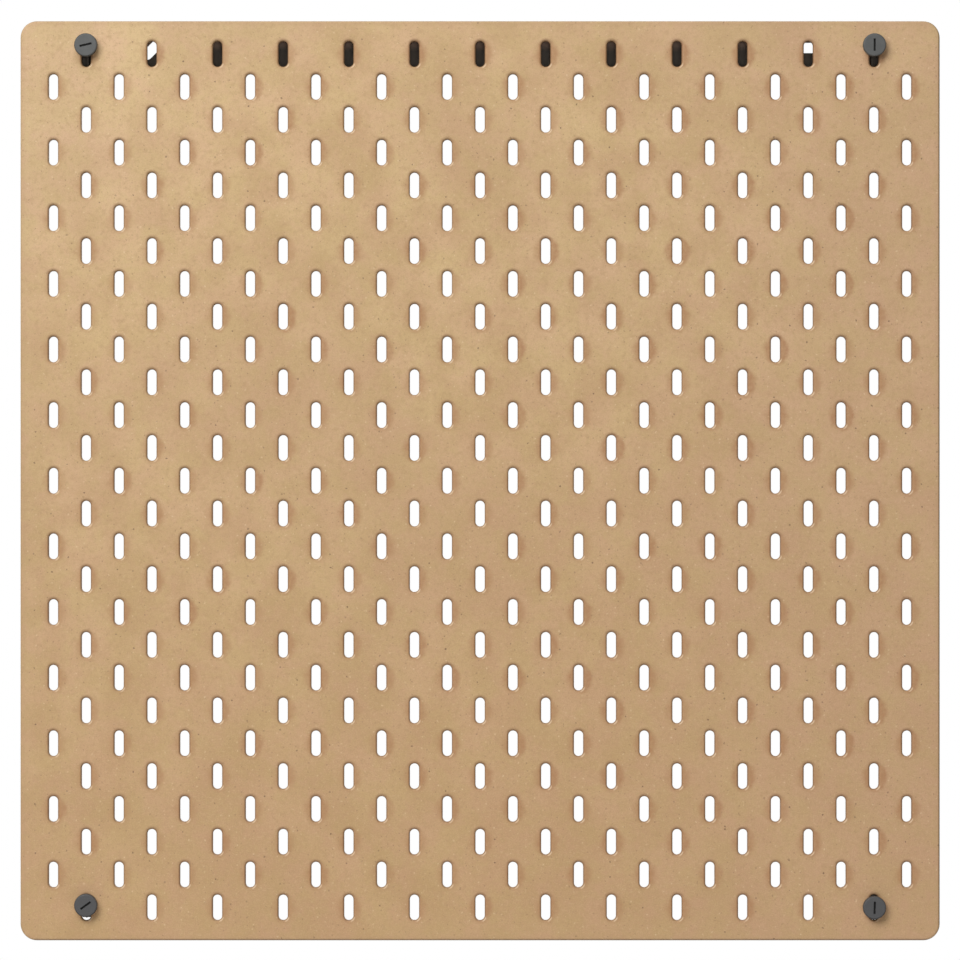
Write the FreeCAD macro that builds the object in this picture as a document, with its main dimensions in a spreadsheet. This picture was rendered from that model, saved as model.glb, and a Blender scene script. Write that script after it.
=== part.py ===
import FreeCAD, Part
import os
import re
from math import cos, radians, tan

import Sketcher
from FreeCAD import Placement, Rotation, Vector

# A slotted wall board that hangs in front of a channel rail on two knob screws,
# with a round spacer and a knob screw in each bottom corner. X runs to the right
# and Z up. The wall is the plane y = 0 and the board lies in front of it, at
# negative y. The origin is the middle of the rail's back.

doc = FreeCAD.newDocument("pegboard")
sheet = doc.addObject("Spreadsheet::Sheet", "Sizes")

# Driving dimensions in millimetres, degrees and counts. Rows of slots take turns:
# a narrow row has one slot fewer than a wide one and stands half a pitch further in.
SIZES = {
    "side_margin": 20,
    "end_margin": 20,
    "board_thickness": 5,
    "board_corner_radius": 10,
    "slot_width": 5.6,
    "slot_length": 15.6,
    "slot_pitch": 40,
    "row_pitch": 20,
    "slots_in_wide_row": 14,
    "wide_rows": 13,
    "stand_off": 20,
    "rail_height": 30,
    "rail_web": 2.5,
    "rail_wall": 2,
    "rib_thickness": 1.6,
    "rib_depth": 6,
    "boss_diameter": 11,
    "screw_slot_width": 6.4,
    "screw_slot_length": 18,
    "screw_slot_slant": 45,
    "knob_diameter": 14,
    "knob_height": 6,
    "knob_bevel": 0.5,
    "coin_slot_length": 7.4,
    "coin_slot_width": 1.2,
    "coin_slot_depth": 1.8,
    "pin_clearance": 0.3,
    "hang_clearance": 0.05,
    "bore_clearance": 0.05,
    "bore_floor": 5,
    "bore_run_out": 3,
    "spacer_diameter": 16.2,
    "left_spacer_rise": 1.6,
    "right_spacer_rise": 0.2,
    "top_left_turn": 13,
    "top_right_turn": 90,
    "bottom_left_turn": 36,
    "bottom_right_turn": 88,
}

# What follows from them
FOLLOWING = {
    "slots_in_narrow_row": "=slots_in_wide_row - 1",
    "narrow_rows": "=wide_rows + 1",
    "fixing_span": "=(slots_in_narrow_row - 1) * slot_pitch",
    "fixing_rise": "=(narrow_rows - 1) * row_pitch",
    "screw_slot_span": "=fixing_span - 2 * slot_pitch",
    "board_width": "=fixing_span + slot_pitch + 2 * side_margin",
    "board_height": "=2 * (fixing_rise + end_margin)",
    "board_front": "=stand_off + board_thickness",
    "pin_diameter": "=slot_width - 2 * pin_clearance",
    "pin_length": "=board_front - bore_floor - bore_run_out",
    "bore_diameter": "=pin_diameter + 2 * bore_clearance",
    "bore_depth": "=stand_off - bore_floor",
    "board_drop": "=fixing_rise + slot_length / 2 - pin_diameter / 2 - hang_clearance",
}

for row, (alias, value) in enumerate({**SIZES, **FOLLOWING}.items(), start=1):
    sheet.set(f"A{row}", alias)
    sheet.set(f"B{row}", str(value))
    sheet.setAlias(f"B{row}", alias)
doc.recompute()


def linked(expression):
    """An expression on aliases, as an object outside the sheet writes it."""
    return re.sub(r"[a-z]\w*", r"Sizes.\g<0>", expression)


def bind(thing, path, expression):
    thing.setExpression(path, linked(expression))


def size(expression):
    """The present value of an expression on aliases."""
    return float(sheet.evalExpression(expression))


def new_body(name, x="0", y="0", z="0", turn=None):
    """A body at a place, turned anticlockwise as seen from the front."""
    body = doc.addObject("PartDesign::Body", name)
    body.Label = name
    if turn:
        body.Placement = Placement(Vector(), Rotation(Vector(0, -1, 0), size(turn)))
        bind(body, "Placement.Rotation.Angle", turn)
    for axis, expression in (("x", x), ("y", y), ("z", z)):
        bind(body, f"Placement.Base.{axis}", expression)
    return body


def new_sketch(body, name, role="XZ_Plane", across="0", up="0", forward="0", slant=None):
    """A sketch parallel to one of the body's planes. On XZ_Plane it faces the front."""
    sketch = body.newObject("Sketcher::SketchObject", name)
    plane = next(f for f in body.Origin.OriginFeatures if f.Role == role)
    sketch.AttachmentSupport = [(plane, "")]
    sketch.MapMode = "FlatFace"
    if slant:
        sketch.AttachmentOffset = Placement(Vector(), Rotation(Vector(0, 0, 1), size(slant)))
        bind(sketch, "AttachmentOffset.Rotation.Angle", slant)
    for axis, expression in (("x", across), ("y", up), ("z", forward)):
        bind(sketch, f"AttachmentOffset.Base.{axis}", expression)
    return sketch


def dimension(sketch, name, kind, *place, to):
    sketch.addConstraint(Sketcher.Constraint(kind, *place, size(to)))
    sketch.renameConstraint(sketch.ConstraintCount - 1, name)
    bind(sketch, f"Constraints.{name}", to)


def draw_circle(sketch, name, diameter):
    centre = (sketch.addGeometry(Part.Circle(Vector(), Vector(0, 0, 1), size(diameter) / 2)), 3)
    sketch.addConstraint(Sketcher.Constraint("Coincident", *centre, -1, 1))
    dimension(sketch, name, "Diameter", centre[0], to=diameter)


def draw_box(sketch, width, height):
    """A rectangle about the sketch's origin."""
    x, y = size(width) / 2, size(height) / 2
    corners = [Vector(-x, -y), Vector(x, -y), Vector(x, y), Vector(-x, y)]
    first = sketch.GeometryCount
    for n in range(4):
        sketch.addGeometry(Part.LineSegment(corners[n], corners[(n + 1) % 4]))
    for n in range(4):
        sketch.addConstraint(Sketcher.Constraint("Coincident", first + n, 2, first + (n + 1) % 4, 1))
        direction = "Vertical" if n % 2 else "Horizontal"
        sketch.addConstraint(Sketcher.Constraint(direction, first + n))
    sketch.addConstraint(Sketcher.Constraint("Symmetric", first, 1, first + 2, 1, -1, 1))
    dimension(sketch, "width", "DistanceX", first, 1, first, 2, to=width)
    dimension(sketch, "height", "DistanceY", first + 1, 1, first + 1, 2, to=height)


def draw_stadium(sketch, length, width):
    """A slot outline about the sketch's origin, with its length across."""
    radius = size(width) / 2
    reach = size(length) / 2 - radius
    first = sketch.GeometryCount
    right, left = Vector(reach, 0), Vector(-reach, 0)
    up = Vector(0, radius)
    out = Vector(radius, 0)
    sketch.addGeometry(Part.Arc(right - up, right + out, right + up))
    sketch.addGeometry(Part.LineSegment(right + up, left + up))
    sketch.addGeometry(Part.Arc(left + up, left - out, left - up))
    sketch.addGeometry(Part.LineSegment(left - up, right - up))
    for arc, line, after in ((0, 1, 2), (2, 3, 0)):
        sketch.addConstraint(Sketcher.Constraint("Tangent", first + arc, 2, first + line, 1))
        sketch.addConstraint(Sketcher.Constraint("Tangent", first + line, 2, first + after, 1))
        sketch.addConstraint(Sketcher.Constraint("Horizontal", first + line))
    sketch.addConstraint(Sketcher.Constraint("Symmetric", first, 3, first + 2, 3, -1, 1))
    dimension(sketch, "centres", "DistanceX", first + 2, 3, first, 3, to=f"{length} - ({width})")
    dimension(sketch, "width", "DistanceY", first, 1, first, 2, to=width)


def draw_profile(sketch, points):
    """A closed outline through points whose coordinates are expressions, none negative."""
    places = [Vector(size(x), size(y)) for x, y in points]
    for n, start in enumerate(places):
        sketch.addGeometry(Part.LineSegment(start, places[(n + 1) % len(places)]))
    for n, (x, y) in enumerate(points):
        after = (n + 1) % len(points)
        sketch.addConstraint(Sketcher.Constraint("Coincident", n, 2, after, 1))
        for kind, line, value in (("DistanceX", -2, x), ("DistanceY", -1, y)):
            if value == "0":
                sketch.addConstraint(Sketcher.Constraint("PointOnObject", n, 1, line))
            else:
                dimension(sketch, f"{kind}_{n}", kind, -1, 1, n, 1, to=value)


def extrude(body, kind, sketch, depth=None, **settings):
    """A Pad towards the front or a Pocket towards the wall. Without a depth it goes through."""
    feature = body.newObject(f"PartDesign::{kind}", f"{sketch.Label}_{kind.lower()}")
    feature.Profile = sketch
    if depth:
        bind(feature, "Length", depth)
    else:
        feature.Type = "ThroughAll"
    for name, value in settings.items():
        setattr(feature, name, value)
    sketch.Visibility = False
    return feature


# The board, padded towards the front from its back face with every slot in its outline
def board_lines():
    """The board's rounded outline and its slots, about the board's centre."""
    x, z = size("board_width") / 2, size("board_height") / 2
    r = size("board_corner_radius")
    lean = r * (1 - 0.5**0.5)
    corners = []
    for right, up in ((1, -1), (1, 1), (-1, 1), (-1, -1)):
        upright = Vector(right * x, up * (z - r))
        level = Vector(right * (x - r), up * z)
        bend = Vector(right * (x - lean), up * (z - lean))
        ends = (upright, level) if right == up else (level, upright)
        corners.append((ends[0], bend, ends[1]))
    lines = []
    for n, corner in enumerate(corners):
        lines.append(Part.Arc(*corner))
        lines.append(Part.LineSegment(corner[2], corners[(n + 1) % 4][0]))
    for row in range(int(size("narrow_rows + wide_rows"))):
        in_row = int(size("slots_in_wide_row" if row % 2 else "slots_in_narrow_row"))
        rise = size("fixing_rise") - row * size("row_pitch")
        for place in range(in_row):
            across = (place - (in_row - 1) / 2) * size("slot_pitch")
            lines += slot_lines(across, rise)
    return lines


def slot_lines(across, rise):
    """An upright slot. Each round end is two flats of the regular hexagon around its arc."""
    radius = size("slot_width") / 2
    centre = size("slot_length") / 2 - radius
    shoulder = centre + radius * tan(radians(30))
    peak = centre + radius / cos(radians(30))
    upper = [(radius, shoulder), (0, peak), (-radius, shoulder)]
    lower = [(-a, -b) for a, b in upper]
    outline = [Vector(across + a, rise + b) for a, b in upper + lower]
    return [Part.LineSegment(a, b) for a, b in zip(outline, outline[1:] + outline[:1])]


def make_board():
    body = new_body("pegboard_panel", y="-stand_off", z="-board_drop")
    sketch = new_sketch(body, "board_outline")
    sketch.addGeometry(board_lines())
    extrude(body, "Pad", sketch, "board_thickness", Refine=False)


# The rail, a channel open to the front with a boss at the middle of each round end
def make_rail():
    body = new_body("mounting_rail")
    outline = new_sketch(body, "rail_outline")
    draw_stadium(outline, "fixing_span + rail_height", "rail_height")
    extrude(body, "Pad", outline, "stand_off")
    channel = new_sketch(body, "rail_channel", forward="stand_off")
    inside = "rail_height - 2 * rail_wall"
    draw_stadium(channel, f"fixing_span + {inside}", inside)
    extrude(body, "Pocket", channel, "stand_off - rail_web")

    rib = new_sketch(body, "rail_rib", across="(slot_pitch - fixing_span) / 2", forward="rail_web")
    draw_box(rib, "rib_thickness", inside)
    rib_pad = extrude(body, "Pad", rib, "rib_depth")
    ribs = body.newObject("PartDesign::LinearPattern", "rail_ribs")
    ribs.Originals = [rib_pad]
    ribs.Direction = (rib, ["H_Axis"])
    ribs.Mode = "Spacing"
    bind(ribs, "Offset", "slot_pitch")
    bind(ribs, "Occurrences", "slots_in_narrow_row - 1")
    body.Tip = ribs
    doc.recompute()

    for side, sign in (("left", "-"), ("right", "")):
        across = f"{sign}fixing_span / 2"
        gusset = new_sketch(body, f"{side}_gusset", across=across, forward="rail_web")
        draw_box(gusset, "rib_thickness", inside)
        extrude(body, "Pad", gusset, "rib_depth")
        boss = new_sketch(body, f"{side}_boss", across=across, forward="rail_web")
        draw_circle(boss, "diameter", "boss_diameter")
        extrude(body, "Pad", boss, "stand_off - rail_web")
        bore = new_sketch(body, f"{side}_bore", across=across, forward="stand_off")
        draw_circle(bore, "diameter", "bore_diameter")
        extrude(body, "Pocket", bore, "bore_depth")

    # One level slot and one slanted slot for the wall screws, so that the rail can be set true
    for side, sign, slant in (("left", "-", "screw_slot_slant"), ("right", "", None)):
        across = f"{sign}screw_slot_span / 2"
        slot = new_sketch(
            body, f"{side}_screw_slot", across=across, forward="stand_off", slant=slant
        )
        draw_stadium(slot, "screw_slot_length", "screw_slot_width")
        extrude(body, "Pocket", slot, "stand_off + rail_web")


# A knob screw: a round head with a coin slot on a plain pin, with the head's back at y = 0
def make_knob(name, x, z, turn):
    body = new_body(name, x=x, y="-board_front", z=z, turn=turn)
    profile = new_sketch(body, f"{name}_profile", role="XY_Plane", up="-knob_height")
    whole = "knob_height + pin_length"
    draw_profile(profile, [
        ("0", "0"),
        ("knob_diameter / 2 - knob_bevel", "0"),
        ("knob_diameter / 2", "knob_bevel"),
        ("knob_diameter / 2", "knob_height"),
        ("pin_diameter / 2", "knob_height"),
        ("pin_diameter / 2", whole),
        ("0", whole),
    ])
    turned = body.newObject("PartDesign::Revolution", f"{name}_revolution")
    turned.Profile = profile
    turned.ReferenceAxis = (profile, ["V_Axis"])
    coin_slot = new_sketch(body, f"{name}_coin_slot", forward="knob_height")
    draw_box(coin_slot, "coin_slot_length", "coin_slot_width")
    extrude(body, "Pocket", coin_slot, "coin_slot_depth")


# A spacer: a thick sleeve from the wall to the back of the board
def make_spacer(name, x, z):
    body = new_body(name, x=x, z=z)
    outline = new_sketch(body, f"{name}_outline")
    draw_circle(outline, "outside", "spacer_diameter")
    draw_circle(outline, "bore", "bore_diameter")
    extrude(body, "Pad", outline, "stand_off")


make_board()
make_rail()
for side, sign in (("left", "-"), ("right", "")):
    x = f"{sign}fixing_span / 2"
    low = f"{side}_spacer_rise - board_drop - fixing_rise"
    make_knob(f"top_{side}_knob", x, "0", f"top_{side}_turn")
    make_spacer(f"bottom_{side}_spacer", x, low)
    make_knob(f"bottom_{side}_knob", x, low, f"bottom_{side}_turn")
doc.recompute()

for thing in doc.Objects:
    if "Invalid" in thing.State or "Error" in thing.State:
        raise RuntimeError(f"{thing.Label} failed: {thing.State}")
    if thing.TypeId == "PartDesign::Pocket":
        if thing.Shape.Volume > thing.BaseFeature.Shape.Volume - 0.01:
            raise RuntimeError(f"{thing.Label} cuts nothing")

os.makedirs("parts", exist_ok=True)
for body in doc.findObjects("PartDesign::Body"):
    shape = body.Shape
    if shape.isNull() or not shape.isValid() or len(shape.Solids) != 1:
        raise RuntimeError(f"{body.Label} is not one valid solid")
    shape.exportStep(f"parts/{body.Label}.step")
    print(f"{body.Label}: {shape.Volume:.1f} mm3, {len(shape.Faces)} faces")
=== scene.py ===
# %% [markdown]
# # A slotted pegboard and its fixings
#
# The real object is a square sheet of brown fibreboard with staggered rows of
# upright slots. Two knob screws hang it on a dark plastic rail, and two more
# clamp a round spacer behind each lower corner. The CAD model brings every piece
# at its true place and size. Blender adds what CAD leaves plain: round slot ends
# with eased rims, moulded edges, screw threads and the finishes.

import math

import bpy
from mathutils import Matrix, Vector
from mathutils.geometry import delaunay_2d_cdt


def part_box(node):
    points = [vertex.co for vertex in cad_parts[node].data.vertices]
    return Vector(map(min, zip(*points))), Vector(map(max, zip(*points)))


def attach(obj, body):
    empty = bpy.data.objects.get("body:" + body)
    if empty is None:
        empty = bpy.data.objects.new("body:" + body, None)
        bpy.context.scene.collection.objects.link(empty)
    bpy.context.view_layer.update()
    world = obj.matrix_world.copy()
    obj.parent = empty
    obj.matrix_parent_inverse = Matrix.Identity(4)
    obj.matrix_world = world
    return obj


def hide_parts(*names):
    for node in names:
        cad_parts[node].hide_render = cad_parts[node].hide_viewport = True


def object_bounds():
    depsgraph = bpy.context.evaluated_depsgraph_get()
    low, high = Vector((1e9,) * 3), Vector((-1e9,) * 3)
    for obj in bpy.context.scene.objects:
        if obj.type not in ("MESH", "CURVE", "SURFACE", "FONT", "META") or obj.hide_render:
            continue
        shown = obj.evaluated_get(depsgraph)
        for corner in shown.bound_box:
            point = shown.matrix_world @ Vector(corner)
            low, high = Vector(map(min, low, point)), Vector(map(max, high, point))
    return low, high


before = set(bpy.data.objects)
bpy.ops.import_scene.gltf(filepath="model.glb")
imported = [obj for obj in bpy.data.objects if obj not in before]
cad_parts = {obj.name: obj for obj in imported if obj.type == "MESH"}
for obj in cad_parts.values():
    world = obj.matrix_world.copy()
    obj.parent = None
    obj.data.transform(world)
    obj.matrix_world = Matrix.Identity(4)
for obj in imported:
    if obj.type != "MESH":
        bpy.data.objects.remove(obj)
cad_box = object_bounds()
MM = 0.001
print("CAD nodes:", sorted(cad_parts))

# %% [markdown]
# ## Where the slots are
#
# Every material and mesh below needs the same lattice of slots, so it is written
# once here, in millimetres. Narrow rows of 13 and wide rows of 14 slots take
# turns, and each row is shifted by half a pitch. The board's own middle comes
# from the CAD node, so the lattice sits where the CAD model has it.

# %% Read the board's place and set out the lattice
low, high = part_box("pegboard_panel")
board_middle = (low + high) / 2 / MM
board_front, board_back = low.y / MM, high.y / MM
HALF_BOARD = (high.x - low.x) / 2 / MM
CORNER = 10
PITCH = 40
ROW = 20
ROWS = 27
LAST_ROW = (ROWS - 1) / 2
NARROW_ROW = 13
SLOT_RADIUS = 2.8
SLOT_HALF = 7.8
SLOT_STRAIGHT = SLOT_HALF - SLOT_RADIUS


def slot_places():
    """The middle of each slot, across and up from the board's middle."""
    for row in range(ROWS):
        in_row = NARROW_ROW + row % 2
        for place in range(in_row):
            yield (place - (in_row - 1) / 2) * PITCH, (LAST_ROW - row) * ROW


print("slots:", len(list(slot_places())))

# %% [markdown]
# ## The camera
#
# The photograph shows the board square on, and its edges and slots hardly lean,
# so it was taken from far away with a long lens. A perspective camera 3.8 m in
# front of the board does the same. The lens follows from similar triangles: the
# frame's width is to that distance as the sensor's width is to the focal length.
# The board isn't quite in the middle of the photograph, so the camera is shifted
# by a fraction of a millimetre.

# %% Place a long lens square to the board
DISTANCE = 3800
FRAME_WIDTH = 584.8
SENSOR = 36
SHIFT_ACROSS, SHIFT_UP = -0.08, 0.46
CLIP_END = 50

lens = bpy.data.cameras.new("long_lens")
lens.sensor_width = SENSOR
lens.lens = SENSOR * DISTANCE / FRAME_WIDTH
lens.clip_end = CLIP_END
camera = bpy.data.objects.new("camera", lens)
bpy.context.scene.collection.objects.link(camera)
camera.location = Vector((SHIFT_ACROSS, board_front - DISTANCE, board_middle.z + SHIFT_UP)) * MM
camera.rotation_euler = (math.pi / 2, 0, 0)
bpy.context.scene.camera = camera
bpy.context.scene.view_settings.view_transform = "Standard"
print("focal length in mm:", round(lens.lens, 1))

# %% [markdown]
# ## Shader sums as Python sums
#
# A finish such as fibreboard is a few hundred small sums on the point being
# shaded. Blender draws them as nodes and wires. Written as wires they are hard to
# read, so the class below wraps a node's output, and an ordinary + or * on it
# adds the Math node for us. The reflected forms let the plain number come first,
# as in 1 - mask. Any other node comes from Finish.node.


# %% A wrapped output socket
class Value:
    """A number that changes over a surface."""

    def __init__(self, finish, socket):
        self.finish = finish
        self.socket = socket

    def math(self, operation, *values):
        return self.finish.node("ShaderNodeMath", {"operation": operation}, dict(enumerate(values)))

    def __add__(self, other):
        return self.math("ADD", self, other)

    __radd__ = __add__

    def __sub__(self, other):
        return self.math("SUBTRACT", self, other)

    def __rsub__(self, other):
        return self.math("SUBTRACT", other, self)

    def __mul__(self, other):
        return self.math("MULTIPLY", self, other)

    __rmul__ = __mul__

    def __truediv__(self, other):
        return self.math("DIVIDE", self, other)

    def __rtruediv__(self, other):
        return self.math("DIVIDE", other, self)

    def __pow__(self, other):
        return self.math("POWER", self, other)

    def __rpow__(self, other):
        return self.math("POWER", other, self)

    def __abs__(self):
        return self.math("ABSOLUTE", self)

    def least(self, other):
        return self.math("MINIMUM", self, other)

    def most(self, other):
        return self.math("MAXIMUM", self, other)

    def nearest(self):
        return self.math("ROUND", self)

    def ramp(self, start, end):
        """0 before start, 1 after end, and smooth between them. It may run backwards."""
        backwards = start > end
        sockets = {
            "Value": self,
            "From Min": min(start, end),
            "From Max": max(start, end),
            "To Min": float(backwards),
            "To Max": float(not backwards),
        }
        return self.finish.node("ShaderNodeMapRange", {"interpolation_type": "SMOOTHSTEP"}, sockets)


print("a value knows:", *(name for name in vars(Value) if not name.startswith("__")))


# %% A material that makes its nodes on request
# The Mix node has sockets for numbers, vectors and colours under the same names. These
# are the places of its factor and its colours.
FACTOR, COLOUR_A, COLOUR_B, COLOUR_RESULT = 0, 6, 7, 2


class Finish:
    """A node material around one Principled shader."""

    def __init__(self, name):
        self.material = bpy.data.materials.new(name)
        self.material.use_nodes = True
        self.tree = self.material.node_tree
        self.shader = self.tree.nodes["Principled BSDF"]

    def node(self, kind, settings, sockets, output=0):
        """A node of any kind. Its settings go first, then its sockets get numbers or wires."""
        node = self.tree.nodes.new(kind)
        for name, value in settings.items():
            setattr(node, name, value)
        for name, value in sockets.items():
            self.connect(node.inputs[name], value)
        return Value(self, node.outputs[output])

    def connect(self, socket, value):
        if isinstance(value, Value):
            self.tree.links.new(value.socket, socket)
        else:
            socket.default_value = value

    def set(self, **sockets):
        """Sets or wires sockets of the shader, with _ for a space in a socket's name."""
        for name, value in sockets.items():
            self.connect(self.shader.inputs[name.replace("_", " ")], value)

    def place(self):
        """The point being shaded, in millimetres, as the object holds it."""
        metres = self.node("ShaderNodeTexCoord", {}, {}, "Object")
        return self.scaled(metres, (1 / MM, 1 / MM, 1 / MM))

    def scaled(self, vector, factors):
        return self.node("ShaderNodeVectorMath", {"operation": "MULTIPLY"}, {0: vector, 1: factors})

    def part(self, vector, axis):
        return self.node("ShaderNodeSeparateXYZ", {}, {0: vector}, axis)

    def vector(self, x, y, z):
        return self.node("ShaderNodeCombineXYZ", {}, {0: x, 1: y, 2: z})

    def noise(self, at, grain, detail=2.0, roughness=0.5):
        """Clouds about one grain across, in millimetres. They average a half."""
        sockets = {"Vector": at, "Scale": 1 / grain, "Detail": detail, "Roughness": roughness}
        return self.node("ShaderNodeTexNoise", {"noise_dimensions": "3D"}, sockets)

    def mix(self, factor, first, second, blend="MIX"):
        """Goes from the first colour to the second as the factor goes from 0 to 1."""
        node = self.tree.nodes.new("ShaderNodeMix")
        node.data_type = "RGBA"
        node.blend_type = blend
        for number, value in ((FACTOR, factor), (COLOUR_A, first), (COLOUR_B, second)):
            self.connect(node.inputs[number], value)
        return Value(self, node.outputs[COLOUR_RESULT])

    def relief(self, height, depth):
        """Bump from a height of 0 to 1, which stands for a depth in millimetres."""
        sockets = {"Height": height, "Distance": depth * MM, "Strength": 1.0}
        return self.node("ShaderNodeBump", {}, sockets)


print("a finish knows:", *(name for name in vars(Finish) if not name.startswith("__")))

# %% [markdown]
# ## The fibreboard
#
# The sheet is pressed wood fibre. Seen close, it is a warm light brown with a
# fine grain, pale fibres, a few dark specks of bark and broad uneven patches, and it
# wanders between a pinker and a yellower brown. Beside many slots, mostly on the
# right, the surface is rubbed to a redder brown. Painted light and shade lie on top:
# the sheet is painted palest in the upper left corner and darker low down, each
# slot's rim gets painted shade at the upper left and a painted highlight at the
# lower right, and the right and the lower edge get painted shade. All of it is
# made from noise and from the slot lattice, so it stays sharp at any distance. The
# lattice gives the distance to the nearest slot, because each slot sits alone in a
# brick of 40 by 20 mm.


# %% Colours as the eye reads them
def colour(red, green, blue):
    """A colour read off a screen, 0 to 255, as the linear numbers that shaders use."""
    levels = [c / 255 for c in (red, green, blue)]
    return (*((c / 12.92 if c < 0.04045 else ((c + 0.055) / 1.055) ** 2.4) for c in levels), 1)


print("a screen's middle grey in linear light:", round(colour(128, 128, 128)[0], 3))

# %% Where a point of the sheet lies from its nearest slot
# The lattice goes on for ever, but the board has no slot whose middle lies farther out
SLOTS_REACH = 270

board_finish = Finish("fibreboard")
f = board_finish
here = f.place()
across, depth = f.part(here, "X"), f.part(here, "Y")
up = f.part(here, "Z") - board_middle.z
flat = f.vector(across, up, depth)

row = (up / ROW).nearest()
odd = 1 - abs(row - 2 * (row / 2).nearest())
column = ((across - PITCH / 2 * odd) / PITCH).nearest()
from_slot_x = across - PITCH / 2 * odd - PITCH * column
from_slot_z = up - ROW * row
reach = (abs(from_slot_z) - SLOT_STRAIGHT).most(0)
to_slot = (from_slot_x**2 + reach**2) ** 0.5 - SLOT_RADIUS
slot_number = f.vector(column + 0.5 * odd, row, 0)
luck = f.node(
    "ShaderNodeTexWhiteNoise", {"noise_dimensions": "3D"}, {"Vector": slot_number}, "Color"
)
chance, leaning, left_luck = (f.part(luck, axis) for axis in "XYZ")
inside_x = abs(PITCH * (column + 0.5 * odd)).ramp(SLOTS_REACH + 1, SLOTS_REACH - 1)
inside_z = abs(row).ramp(LAST_ROW + 0.6, LAST_ROW + 0.4)
real_slot = inside_x * inside_z
print("nodes in the lattice:", len(f.tree.nodes))

# %% The grain and the patches
grain = f.noise(flat, 0.7, 3.0, 0.6)
fibres_a = f.noise(f.scaled(flat, (0.25, 1.7, 1)), 0.9, 2.0)
fibres_b = f.noise(f.scaled(flat, (1.7, 0.25, 1)), 0.9, 2.0)
patches = f.noise(flat, 34.0, 4.0, 0.62)
broad = f.noise(flat, 120.0, 2.0, 0.5)
warmth = f.noise(f.vector(across, up, depth + 90), 20.0, 5.0, 0.75)
pale = fibres_a.most(fibres_b).ramp(0.60, 0.78)

streaks = f.noise(flat, 3.2, 3.0, 0.6)
tone = f.mix(patches.ramp(0.32, 0.68), colour(192, 160, 118), colour(206, 175, 132))
tone = f.mix(0.5 * broad.ramp(0.40, 0.65), tone, colour(190, 157, 119))
# Painted light and shade: the sheet is darker towards the bottom and lighter in the upper left corner,
# as the lamp's fall-off would make it. Then it turns a cooler brown towards the right.
tone = f.mix(0.62 * (up - 0.2 * across).ramp(200, -280), tone, colour(178, 142, 102))
tone = f.mix(0.34 * (up - across).ramp(300, 540), tone, colour(224, 195, 156))
tone = f.mix(0.35 * across.ramp(20, 280), tone, colour(194, 159, 126))
tone = f.mix(warmth.ramp(0.35, 0.65), tone, (1.035, 0.985, 1.04, 1), "MULTIPLY")
tone = f.mix(warmth.ramp(0.65, 0.35), tone, (0.99, 1.01, 0.93, 1), "MULTIPLY")
tone = f.mix(0.42 * streaks.ramp(0.52, 0.28), tone, colour(178, 145, 104))
tone = f.mix(0.42 * grain.ramp(0.50, 0.25), tone, colour(166, 132, 94))
tone = f.mix(0.24 * grain.ramp(0.52, 0.72), tone, colour(222, 192, 152))
tone = f.mix(0.25 * pale, tone, colour(220, 194, 156))
print("nodes with the grain:", len(f.tree.nodes))

# %% Specks of bark
TEAR_SCALE = 1.1
TEAR_REACH = (1.6, 1.6, 0)

sockets = {"Vector": flat, "Scale": TEAR_SCALE}
tear = f.node("ShaderNodeTexNoise", {"noise_dimensions": "3D"}, sockets, "Color")
torn = f.node("ShaderNodeVectorMath", {"operation": "MULTIPLY_ADD"}, {0: tear, 1: TEAR_REACH, 2: flat})


def specks(cell, radius, share):
    """Torn specks, one in some of the cells of a grid with this many millimetres a cell."""
    sockets = {"Vector": torn, "Scale": 1 / cell}
    distance = f.node("ShaderNodeTexVoronoi", {"voronoi_dimensions": "2D"}, sockets)
    lot = f.node("ShaderNodeTexVoronoi", {"voronoi_dimensions": "2D"}, sockets, "Color")
    size = f.part(lot, "X").ramp(1 - share, 1)
    return (distance * cell / radius).ramp(1.0, 0.4) * size


tone = f.mix(0.80 * specks(10.0, 0.65, 0.28), tone, colour(104, 80, 58))
tone = f.mix(0.55 * specks(3.7, 0.50, 0.40), tone, colour(136, 104, 74))
tone = f.mix(0.40 * specks(4.9, 0.60, 0.35), tone, colour(232, 208, 170))
print("nodes with the specks:", len(f.tree.nodes))

# %% Stains beside the slots
STAIN_HALF_WIDTH, STAIN_HALF_HEIGHT, STAIN_DROOP = 8.6, 9.0, 1.3
STAINS_SPREAD = 244

wobble = 0.42 * (f.noise(flat, 4.0, 3.0, 0.6) - 0.5)
stain_height = STAIN_HALF_HEIGHT + STAIN_DROOP * from_slot_z.ramp(0, -6)
oval = ((from_slot_x / STAIN_HALF_WIDTH) ** 2 + (from_slot_z / stain_height) ** 2) ** 0.5 + wobble
right_side = from_slot_x.ramp(-2, 2)
side = across / STAINS_SPREAD
rubbed_right = oval.ramp(1.10, 0.60) * (0.34 + 0.42 * leaning) * (1 + 0.20 * side)
left_share = 0.26 + 0.42 * left_luck + 0.26 * leaning
rubbed_left = oval.ramp(1.06, 0.30) * left_share * (1 + 0.33 * side)
rubbed = rubbed_left + right_side * (rubbed_right - rubbed_left)
soaked = oval.ramp(1.05, 0.80) * chance.ramp(0.55, 1.0) * (0.3 + 0.7 * right_side * leaning)
stain = (rubbed + 0.25 * soaked + 0.13 * to_slot.ramp(3.4, 0.4)).least(0.74) * real_slot
blotch = f.noise(flat, 2.2, 3.0, 0.65).ramp(0.25, 0.75)
tone = f.mix(stain * (0.75 + 0.5 * blotch), tone, colour(168, 124, 86))
print("nodes with the stains:", len(f.tree.nodes))

# %% Cut walls, and painted shade and highlight on the slots' rims
AWAY_FROM_KEY = (0.5, -0.87)
BRIGHTEST_RIM = (0.75, -0.66)
end = from_slot_z.most(SLOT_STRAIGHT) + from_slot_z.least(-SLOT_STRAIGHT)


def faces(direction):
    """How far this side of the slot looks in a direction, across and up."""
    return (direction[0] * from_slot_x + direction[1] * end) / (to_slot + SLOT_RADIUS)


# Painted shade on the rims: darker where a rim faces away from the key lamp, most of all in a crescent
# above the slot. Right at the wall the darker brown is the cut fibre's own colour.
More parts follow.
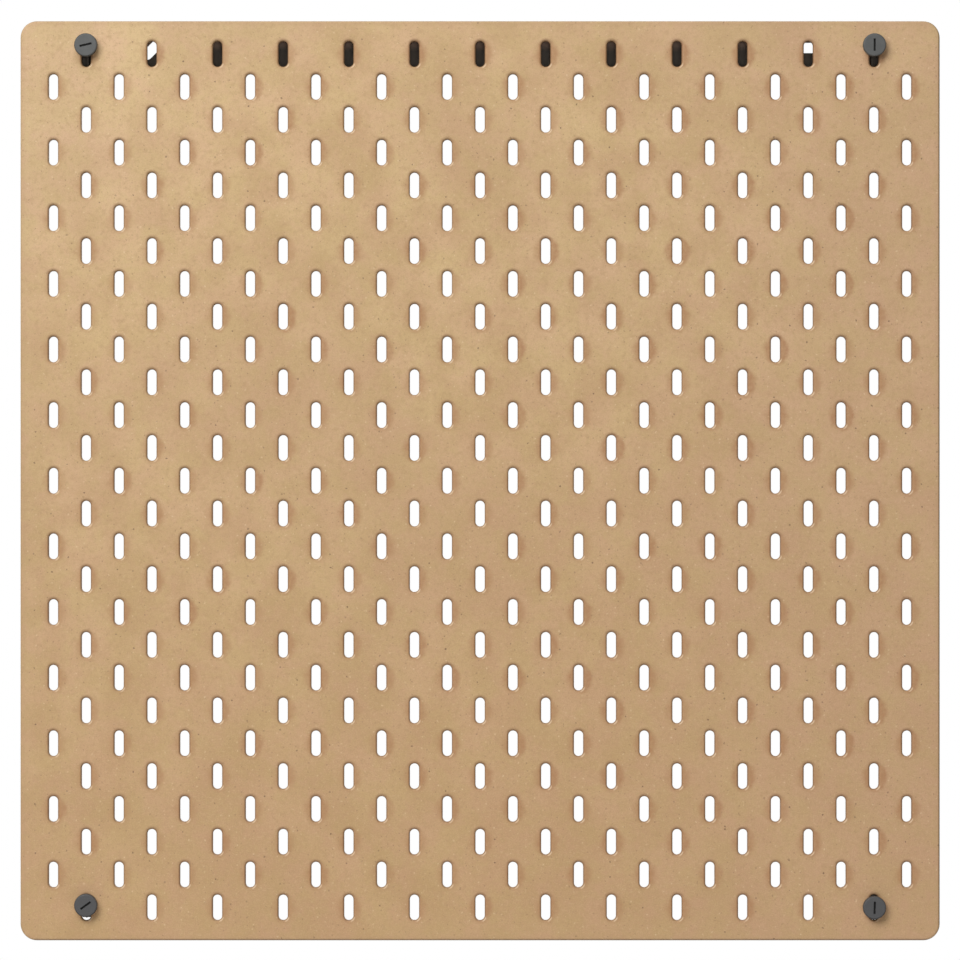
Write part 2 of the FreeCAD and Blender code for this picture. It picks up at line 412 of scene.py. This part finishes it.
facing = faces(AWAY_FROM_KEY)
above = from_slot_z.ramp(SLOT_HALF - 2.5, SLOT_HALF)
shaded = to_slot.ramp(1.3, 0.2).most(0.8 * above * to_slot.ramp(2.4, 0.6)) * facing.ramp(1.0, 0.20)
cut_wall_and_rim_shade = (shaded * (0.80 + 0.20 * above)).most(0.6 * to_slot.ramp(0.6, 0.1)) * real_slot
# A painted highlight on the rim at the lower right, where it faces the key lamp.
lit = faces(BRIGHTEST_RIM).ramp(0.80, 1.0) * to_slot.ramp(0.2, 0.6) * to_slot.ramp(1.5, 0.9) * real_slot
tone = f.mix(0.64 * cut_wall_and_rim_shade, tone, colour(124, 94, 70))
tone = f.mix(0.50 * lit, tone, colour(236, 214, 180))
print("nodes with the rims:", len(f.tree.nodes))

# %% The outer edge
# Painted shade: only the right and the lower edge are darkened, as they face away from the light. On
# the other half of the board this many millimetres are added to the distance, which keeps it out of
# their reach.
OUT_OF_REACH = 9

inset_x, inset_z = HALF_BOARD - abs(across), HALF_BOARD - abs(up)
edge = inset_x.least(inset_z)
right_edge = inset_x + across.ramp(10, -10) * OUT_OF_REACH
lower_edge = inset_z + up.ramp(-10, 10) * OUT_OF_REACH
shaded_far_edge = right_edge.least(lower_edge)
tone = f.mix(0.36 * edge.ramp(4.0, 1.0) * (0.4 + 0.6 * blotch), tone, colour(178, 144, 110))
# Painted shade along the right and the lower edge.
tone = f.mix(0.60 * shaded_far_edge.ramp(1.3, 0.3), tone, colour(118, 96, 74))

f.set(Base_Color=tone, Roughness=0.62 + 0.2 * (grain - 0.5) - 0.06 * stain)
f.set(Specular_IOR_Level=0.35, Normal=f.relief(grain * 0.6 + pale * 0.4, 0.05))
print("nodes in the fibreboard:", len(f.tree.nodes))

# %% [markdown]
# ## The plastics
#
# The knobs are moulded in dark grey plastic with a fine spark-eroded texture. The
# spacers are nearly black, and the rail is a very dark brown grey. Moulded plastic
# isn't one flat colour: the texture scatters light, and gates and handling leave it
# a little uneven. A small bump and a roughness that wanders do that. A mask can add
# a third shade: the lower knobs get painted shade, and the upper half of the rail's
# channel gets painted light in a lighter brown. The knobs' coin slots get a
# near-black finish, which is painted shade. The rail's CAD edges are sharp, and the
# Bevel node rounds their shading without a change to its mesh.


# %% Moulded plastic in two shades
def moulded(name, dark, light, rough, edge_radius=0.0, gloss=0.4, other=None, where=None):
    """Clouds between two shades, and another shade where a mask says."""
    finish = Finish(name)
    at = finish.place()
    cloud = finish.noise(at, 5.0, 3.0)
    skin = finish.noise(at, 0.35, 2.0, 0.6)
    tone = finish.mix(cloud.ramp(0.3, 0.7), dark, light)
    if other:
        across, depth, up = (finish.part(at, axis) for axis in "XYZ")
        tone = finish.mix(where(across, depth, up + 3.0 * (cloud - 0.5)), tone, other)
    finish.set(Base_Color=tone)
    finish.set(Roughness=rough + 0.12 * (cloud - 0.5) + 0.10 * (skin - 0.5))
    bump = finish.relief(skin, 0.02)
    if edge_radius:
        rounded = finish.node("ShaderNodeBevel", {"samples": 6}, {"Radius": edge_radius * MM})
        finish.connect(bump.socket.node.inputs["Normal"], rounded)
    finish.set(Normal=bump, Specular_IOR_Level=gloss)
    return finish.material


CHANNEL_HALF_LENGTH = 240
CHANNEL_HALF_HEIGHT = 13


# Painted shade: the lower knobs are a little darker, as less light reaches them.
def shaded_low_down(across, depth, up):
    return up.ramp(-200, -300)


def painted_light_in_channel(across, depth, up):
    """Painted light: the upper half of the rail's channel, inside only, is lighter. The rail's outside
    stays dark.
    """
    inside_x = abs(across).ramp(CHANNEL_HALF_LENGTH + 2, CHANNEL_HALF_LENGTH - 2)
    inside_z = abs(up).ramp(CHANNEL_HALF_HEIGHT + 0.8, CHANNEL_HALF_HEIGHT - 0.2)
    return up.ramp(-2.5, 2.5) * inside_x * depth.ramp(-1.0, -2.0) * inside_z


# The lower knobs get painted shade through the mask below.
knob_plastic = moulded(
    "knob_plastic", colour(68, 69, 68), colour(76, 77, 76), 0.48,
    other=colour(62, 62, 63), where=shaded_low_down,
)
# Painted shade: the coin slots' walls and floor get a near-black finish.
coin_slot_shade = moulded("knob_recess_painted_shade", colour(14, 14, 13), colour(20, 20, 18), 0.7)
# Painted light: inside the channel the upper half is a lighter brown.
rail_plastic = moulded(
    "rail_plastic", colour(92, 79, 63), colour(102, 89, 73), 0.5, edge_radius=0.35, gloss=0.35,
    other=colour(176, 142, 120), where=painted_light_in_channel,
)
spacer_plastic = moulded("spacer_plastic", colour(46, 42, 38), colour(54, 50, 45), 0.5)
print("plastics:", knob_plastic.name, coin_slot_shade.name, rail_plastic.name, spacer_plastic.name)

# %% [markdown]
# ## Sheets and turned parts from rings
#
# The board, the knob heads and the spacers are all flat faces with holes, joined
# to walls whose edges are rounded over. One small builder makes them all. A loop
# is a rounded box that can grow or shrink. A wall is a stack of such loops, each
# at its own depth, with quads between them. A flat face fills the space between
# loops, and Blender's Delaunay triangulation finds its triangles.


# %% A loop of points
MERGE = 1e-6


def rounded_box(middle, half_width, half_height, radius, steps, grow=0.0):
    """Points round a box with round corners, anticlockwise, all moved out by grow."""
    points = []
    for corner in range(4):
        right = 1 if corner in (0, 3) else -1
        top = 1 if corner in (0, 1) else -1
        x = middle[0] + right * (half_width - radius)
        z = middle[1] + top * (half_height - radius)
        for step in range(steps + 1):
            angle = math.pi / 2 * (corner + step / steps)
            point = (x + (radius + grow) * math.cos(angle), z + (radius + grow) * math.sin(angle))
            if not points or math.dist(points[-1], point) > MERGE:
                points.append(point)
    if math.dist(points[0], points[-1]) < MERGE:
        points.pop()
    return points


print("points round a slot:", len(rounded_box((0, 0), SLOT_RADIUS, SLOT_HALF, SLOT_RADIUS, 6)))

# %% A builder for walls and faces
SHARP_ANGLE = 40


class Sheet:
    """Collects points and faces in millimetres, with depth along Y and loops in X and Z."""

    def __init__(self):
        self.points, self.faces, self.marks = [], [], []

    def loop(self, outline, depth):
        first = len(self.points)
        self.points += [(x, depth, z) for x, z in outline]
        return list(range(first, len(self.points)))

    def wall(self, outline, profile, hole, mark=0):
        """Joins copies of one outline. The profile holds how far each moves out, and its depth."""
        loops = [self.loop(outline(grow), depth) for grow, depth in profile]
        for near, far in zip(loops, loops[1:]):
            count = len(near)
            for n in range(count):
                after = (n + 1) % count
                face = (near[n], near[after], far[after], far[n])
                self.faces.append(face[::-1] if hole else face)
                self.marks.append(mark)
        return loops[0], loops[-1]

    def face(self, loops, forward, mark=0):
        """Fills between the first loop and the ones inside it, towards the front or the back."""
        ids = [i for loop in loops for i in loop]
        spots = [Vector((self.points[i][0], self.points[i][2])) for i in ids]
        edges, owner = [], []
        for number, loop in enumerate(loops):
            start = len(owner)
            owner += [number] * len(loop)
            edges += [(start + n, start + (n + 1) % len(loop)) for n in range(len(loop))]
        result = delaunay_2d_cdt(spots, edges, [], 1, MERGE)
        back = [olds[0] for olds in result[3]]
        for triangle in result[2]:
            owners = {owner[back[v]] for v in triangle}
            if len(owners) == 1 and owners != {0}:
                continue
            corners = [ids[back[v]] for v in triangle]
            (ax, _, az), (bx, _, bz), (cx, _, cz) = (self.points[i] for i in corners)
            upright = (bx - ax) * (cz - az) - (bz - az) * (cx - ax) > 0
            self.faces.append(corners if upright == forward else corners[::-1])
            self.marks.append(mark)

    def build(self, name, place, materials, turn=0.0):
        """The mesh object, turned anticlockwise as seen from the front and put in its place."""
        c, s = math.cos(math.radians(turn)), math.sin(math.radians(turn))
        x0, y0, z0 = place
        spots = [
            ((x0 + x * c - z * s) * MM, (y0 + y) * MM, (z0 + x * s + z * c) * MM)
            for x, y, z in self.points
        ]
        mesh = bpy.data.meshes.new(name)
        mesh.from_pydata(spots, [], self.faces)
        for material in materials:
            mesh.materials.append(material)
        mesh.polygons.foreach_set("material_index", self.marks)
        mesh.shade_smooth()
        mesh.set_sharp_from_angle(angle=math.radians(SHARP_ANGLE))
        piece = bpy.data.objects.new(name, mesh)
        bpy.context.scene.collection.objects.link(piece)
        weighted = piece.modifiers.new("even_shading", "WEIGHTED_NORMAL")
        weighted.keep_sharp = True
        print(name, "has", len(mesh.polygons), "faces")
        return piece


print("a sheet knows:", *(name for name in vars(Sheet) if not name.startswith("__")))


# %% The profile of an eased edge
def eased(radius, depth, towards, steps=4):
    """A quarter round from the flat face to the wall: how far out, and how deep."""
    turns = [math.pi / 2 * n / steps for n in range(steps + 1)]
    return [(-radius * (1 - math.sin(t)), depth + towards * radius * (1 - math.cos(t))) for t in turns]


print("an edge of 1 mm goes in by:", [round(-out, 2) for out, _ in eased(1, 0, 1)])

# %% [markdown]
# ## The slotted sheet
#
# The board's slots are routed, with round ends and a softened front rim that
# catches the light at the lower right and is dark at the upper left. In the
# photograph that rim is what makes the slots look crisp, so it is real geometry
# here: a quarter round of 1.2 mm, as on the outer edge.

# %% Build the slotted sheet
RIM = 1.2
OUTER_EASE = 1.2
BACK_EASE = 0.4

sheet = Sheet()
thickness = board_back - board_front


def outer_edge(grow):
    return rounded_box((0, 0), HALF_BOARD, HALF_BOARD, CORNER, 10, grow)


def slot_at(place):
    return lambda grow: rounded_box(place, SLOT_RADIUS, SLOT_HALF, SLOT_RADIUS, 6, grow)


profile = eased(OUTER_EASE, 0, 1) + eased(BACK_EASE, thickness, -1, 2)[::-1]
ends = [sheet.wall(outer_edge, profile, hole=False)]
rim_profile = [(-out, at) for out, at in eased(RIM, 0, 1) + eased(BACK_EASE, thickness, -1, 2)[::-1]]
for place in slot_places():
    ends.append(sheet.wall(slot_at(place), rim_profile, hole=True))
sheet.face([front for front, _ in ends], forward=True)
sheet.face([back for _, back in ends], forward=False)
board_sheet = sheet.build(
    "slotted_sheet", (board_middle.x, board_front, board_middle.z), [board_finish.material]
)
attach(board_sheet, "board")
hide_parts("pegboard_panel")

# %% [markdown]
# ## The knob screws
#
# Each knob is a round head with a soft shoulder and a square coin slot, on a
# coarse moulded thread. The heads were left at four different angles. The thread
# is swept from one ridge: a point that climbs one pitch in each turn, with the
# ridge's depth as a ramp on the angle. It stays inside the plain pin of the CAD
# model, so it clears its bore. The head's back keeps a hair's gap from the board,
# so that no two faces share one plane when the knob slides over it.

# %% A ridged pin
PIN_RADIUS, PIN_LENGTH = 2.5, 17.0
THREAD_PITCH, THREAD_DEPTH = 2.5, 0.45
THREAD_LAYERS, THREAD_AROUND = 56, 24
RIDGE_HALF_SHARE = 0.32
RUN_IN, RUN_OUT = 2, 1.2


def thread(sheet, start):
    """A ridged pin from the head's back, closed at its end. Returns its first loop."""
    loops = []
    for layer in range(THREAD_LAYERS + 1):
        depth = PIN_LENGTH * layer / THREAD_LAYERS
        fade = min(1, depth / RUN_IN, (PIN_LENGTH - depth) / RUN_OUT + 0.25)
        outline = []
        for n in range(THREAD_AROUND):
            angle = 2 * math.pi * n / THREAD_AROUND
            turn = (depth / THREAD_PITCH - n / THREAD_AROUND) % 1
            ridge = max(0.0, 1 - abs(turn - 0.5) / RIDGE_HALF_SHARE)
            radius = PIN_RADIUS - THREAD_DEPTH * (1 - min(1, 1.4 * ridge) * fade)
            outline.append((radius * math.cos(angle), radius * math.sin(angle)))
        loops.append(sheet.loop(outline, start + depth))
    for near, far in zip(loops, loops[1:]):
        for n in range(THREAD_AROUND):
            after = (n + 1) % THREAD_AROUND
            sheet.faces.append((near[n], near[after], far[after], far[n]))
            sheet.marks.append(0)
    sheet.face([loops[-1]], forward=False)
    return loops[0]


print("turns of thread on a pin:", PIN_LENGTH / THREAD_PITCH)

# %% One knob screw
HEAD_RADIUS = 7.0
HEAD_HEIGHT = 6.0
SEAT_GAP = 0.02
SHOULDER = 0.8
BACK_ROUNDING = 0.3
COIN_HALF_LENGTH, COIN_HALF_WIDTH, COIN_DEPTH = 3.7, 0.6, 1.8
COIN_CORNER, COIN_RIM = 0.12, 0.1


def circle(radius, steps=16):
    """An outline with this many steps in each quarter."""
    return lambda grow: rounded_box((0, 0), radius, radius, radius, steps, grow)


def knob_screw(name, node, turn):
    low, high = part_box(node)
    middle = (low + high) / 2 / MM
    sheet = Sheet()
    back = eased(BACK_ROUNDING, HEAD_HEIGHT - SEAT_GAP, -1, 2)[::-1]
    profile = eased(SHOULDER, 0, 1, 6) + back
    face_loop, back_loop = sheet.wall(circle(HEAD_RADIUS), profile, hole=False)

    def coin(grow):
        return rounded_box((0, 0), COIN_HALF_LENGTH, COIN_HALF_WIDTH, COIN_CORNER, 2, grow)

    rim = [(-out, at) for out, at in eased(COIN_RIM, 0, 1, 2)]
    rim_loop, _ = sheet.wall(coin, rim, hole=True)
    # The coin slot's walls and floor take the near-black painted shade.
    _, floor_loop = sheet.wall(coin, [rim[-1], (0, COIN_DEPTH)], hole=True, mark=1)
    sheet.face([face_loop, rim_loop], forward=True)
    sheet.face([floor_loop], forward=True, mark=1)
    root = thread(sheet, HEAD_HEIGHT)
    sheet.face([back_loop, root], forward=False)
    knob = sheet.build(name, (middle.x, low.y / MM, middle.z), [knob_plastic, coin_slot_shade], turn)
    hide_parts(node)
    return knob


print("a knob's head in mm:", 2 * HEAD_RADIUS, "across and", HEAD_HEIGHT, "high")

# %% Put the four knobs in, each at the angle at which it was left
LEFT_AT = {"top_left": 13, "top_right": 90, "bottom_left": 36, "bottom_right": 88}

for corner, turn in LEFT_AT.items():
    knob = knob_screw(f"{corner}_knob_screw", f"{corner}_knob", turn)
    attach(knob, f"{corner}_knob")

# %% [markdown]
# ## The spacers
#
# Behind each lower knob a dark sleeve keeps the board off the wall. Only a dark
# sliver of it shows from the front, but from the side it stands between board and
# wall. It gets eased ends and the shallow flutes of a moulded sleeve, cut inwards
# from the CAD size.

# %% Build the two fluted sleeves
SLEEVE_RADIUS = 8.1
BORE_RADIUS = 2.55
SLEEVE_EASE, BORE_EASE = 0.6, 0.4
FLUTES = 24
FLUTE_DEPTH = 0.25
FLUTE_STEPS = 6


def fluted(grow):
    """A circle whose outline dips inwards between the flutes' crests."""
    points = []
    for n in range(FLUTES * FLUTE_STEPS):
        angle = 2 * math.pi * n / (FLUTES * FLUTE_STEPS)
        dip = FLUTE_DEPTH * (0.5 - 0.5 * math.cos(FLUTES * angle))
        radius = SLEEVE_RADIUS - dip + grow
        points.append((radius * math.cos(angle), radius * math.sin(angle)))
    return points


for side in ("left", "right"):
    low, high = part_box(f"bottom_{side}_spacer")
    middle, length = (low + high) / 2 / MM, (high.y - low.y) / MM
    sleeve = Sheet()
    outside = eased(SLEEVE_EASE, 0, 1) + eased(SLEEVE_EASE, length, -1)[::-1]
    outer = sleeve.wall(fluted, outside, hole=False)
    rims = eased(BORE_EASE, 0, 1, 2) + eased(BORE_EASE, length, -1, 2)[::-1]
    bore = sleeve.wall(circle(BORE_RADIUS, 8), [(-out, at) for out, at in rims], hole=True)
    sleeve.face([outer[0], bore[0]], forward=True)
    sleeve.face([outer[1], bore[1]], forward=False)
    spacer = sleeve.build(f"{side}_sleeve", (middle.x, low.y / MM, middle.z), [spacer_plastic])
    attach(spacer, f"bottom_{side}_spacer")
    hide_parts(f"bottom_{side}_spacer")

# %% [markdown]
# ## The rail
#
# The rail's CAD solid already has its true form: a channel with ribs, two bosses
# and two screw slots. It stays as it is and only gets its plastic.

# %% Dress the rail
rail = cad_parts["mounting_rail"]
rail.data.materials.clear()
rail.data.materials.append(rail_plastic)
print("rail material:", rail.data.materials[0].name)

# %% [markdown]
# ## Light, background and floor
#
# The photograph is lit by one large soft source high on the left, in front of
# the board. The knobs' soft shadows fall to the lower right, and that key lamp
# makes them. An overhead lamp helps it. A lamp near the camera reaches the rail
# through the slots, which would else be black. A lamp behind the board lights its
# back for views from there, and the world fills in. The background is pure white,
# also seen through the slots. Light Path tells camera rays from light, so the world
# can be white to the camera while it lights the board less.

# %% The white world
FILL_COLOUR = (1, 0.94, 0.84, 1)
FILL_STRENGTH = 0.09

world = bpy.data.worlds.new("white_studio")
world.use_nodes = True
bpy.context.scene.world = world
tree = world.node_tree
fill = tree.nodes["Background"]
fill.inputs["Color"].default_value = FILL_COLOUR
fill.inputs["Strength"].default_value = FILL_STRENGTH
white = tree.nodes.new("ShaderNodeBackground")
white.inputs["Color"].default_value = (1, 1, 1, 1)
white.inputs["Strength"].default_value = 1
path = tree.nodes.new("ShaderNodeLightPath")
seen = path.outputs["Is Camera Ray"]
for kind in ("Is Glossy Ray", "Is Transmission Ray"):
    either = tree.nodes.new("ShaderNodeMath")
    either.operation = "MAXIMUM"
    tree.links.new(seen, either.inputs[0])
    tree.links.new(path.outputs[kind], either.inputs[1])
    seen = either.outputs[0]
choose = tree.nodes.new("ShaderNodeMixShader")
tree.links.new(seen, choose.inputs[0])
tree.links.new(fill.outputs[0], choose.inputs[1])
tree.links.new(white.outputs[0], choose.inputs[2])
tree.links.new(choose.outputs[0], tree.nodes["World Output"].inputs["Surface"])
print("the world lights the board with strength", FILL_STRENGTH)


# %% The lamps
def area_lamp(name, place, size, watts):
    """A square lamp, aimed at the middle of the board."""
    lamp = bpy.data.lights.new(name, "AREA")
    lamp.size = size
    lamp.energy = watts
    holder = bpy.data.objects.new(name, lamp)
    bpy.context.scene.collection.objects.link(holder)
    holder.location = place
    target = Vector((0, board_front * MM, board_middle.z * MM))
    holder.rotation_euler = (target - holder.location).to_track_quat("-Z", "Y").to_euler()
    print(name, "lamp:", watts, "W")


area_lamp("key", (-1.15, -2.40, 1.15), 1.7, 69)
area_lamp("overhead", (-0.10, -1.00, 1.45), 1.0, 6.6)
area_lamp("front_fill", (0.10, -3.60, -0.30), 0.7, 15.5)
area_lamp("back_fill", (0.90, 2.60, 0.90), 1.5, 26)

# %% The floor
FLOOR_DROP = 0.20
FLOOR_RADIUS = 1.1
FADE_FROM = 0.6
FLOOR_SIDES = 96

floor_level = cad_box[0].z - FLOOR_DROP
angles = [2 * math.pi * n / FLOOR_SIDES for n in range(FLOOR_SIDES)]
points = [(FLOOR_RADIUS * math.cos(a), FLOOR_RADIUS * math.sin(a), floor_level) for a in angles]
floor_mesh = bpy.data.meshes.new("floor")
floor_mesh.from_pydata(points, [], [list(range(FLOOR_SIDES))])
floor = bpy.data.objects.new("floor", floor_mesh)
bpy.context.scene.collection.objects.link(floor)
paper = Finish("floor_paper")
at = paper.node("ShaderNodeTexCoord", {}, {}, "Object")
level = paper.scaled(at, (1, 1, 0))
from_middle = paper.node("ShaderNodeVectorMath", {"operation": "LENGTH"}, {0: level}, "Value")
paper.set(Base_Color=(0.88, 0.88, 0.88, 1), Roughness=0.9)
paper.set(Alpha=from_middle.ramp(FLOOR_RADIUS, FADE_FROM))
floor_mesh.materials.append(paper.material)
print("floor at", round(floor_level, 3), "m")

# %% [markdown]
# The visual model has to stay inside the CAD model's box.
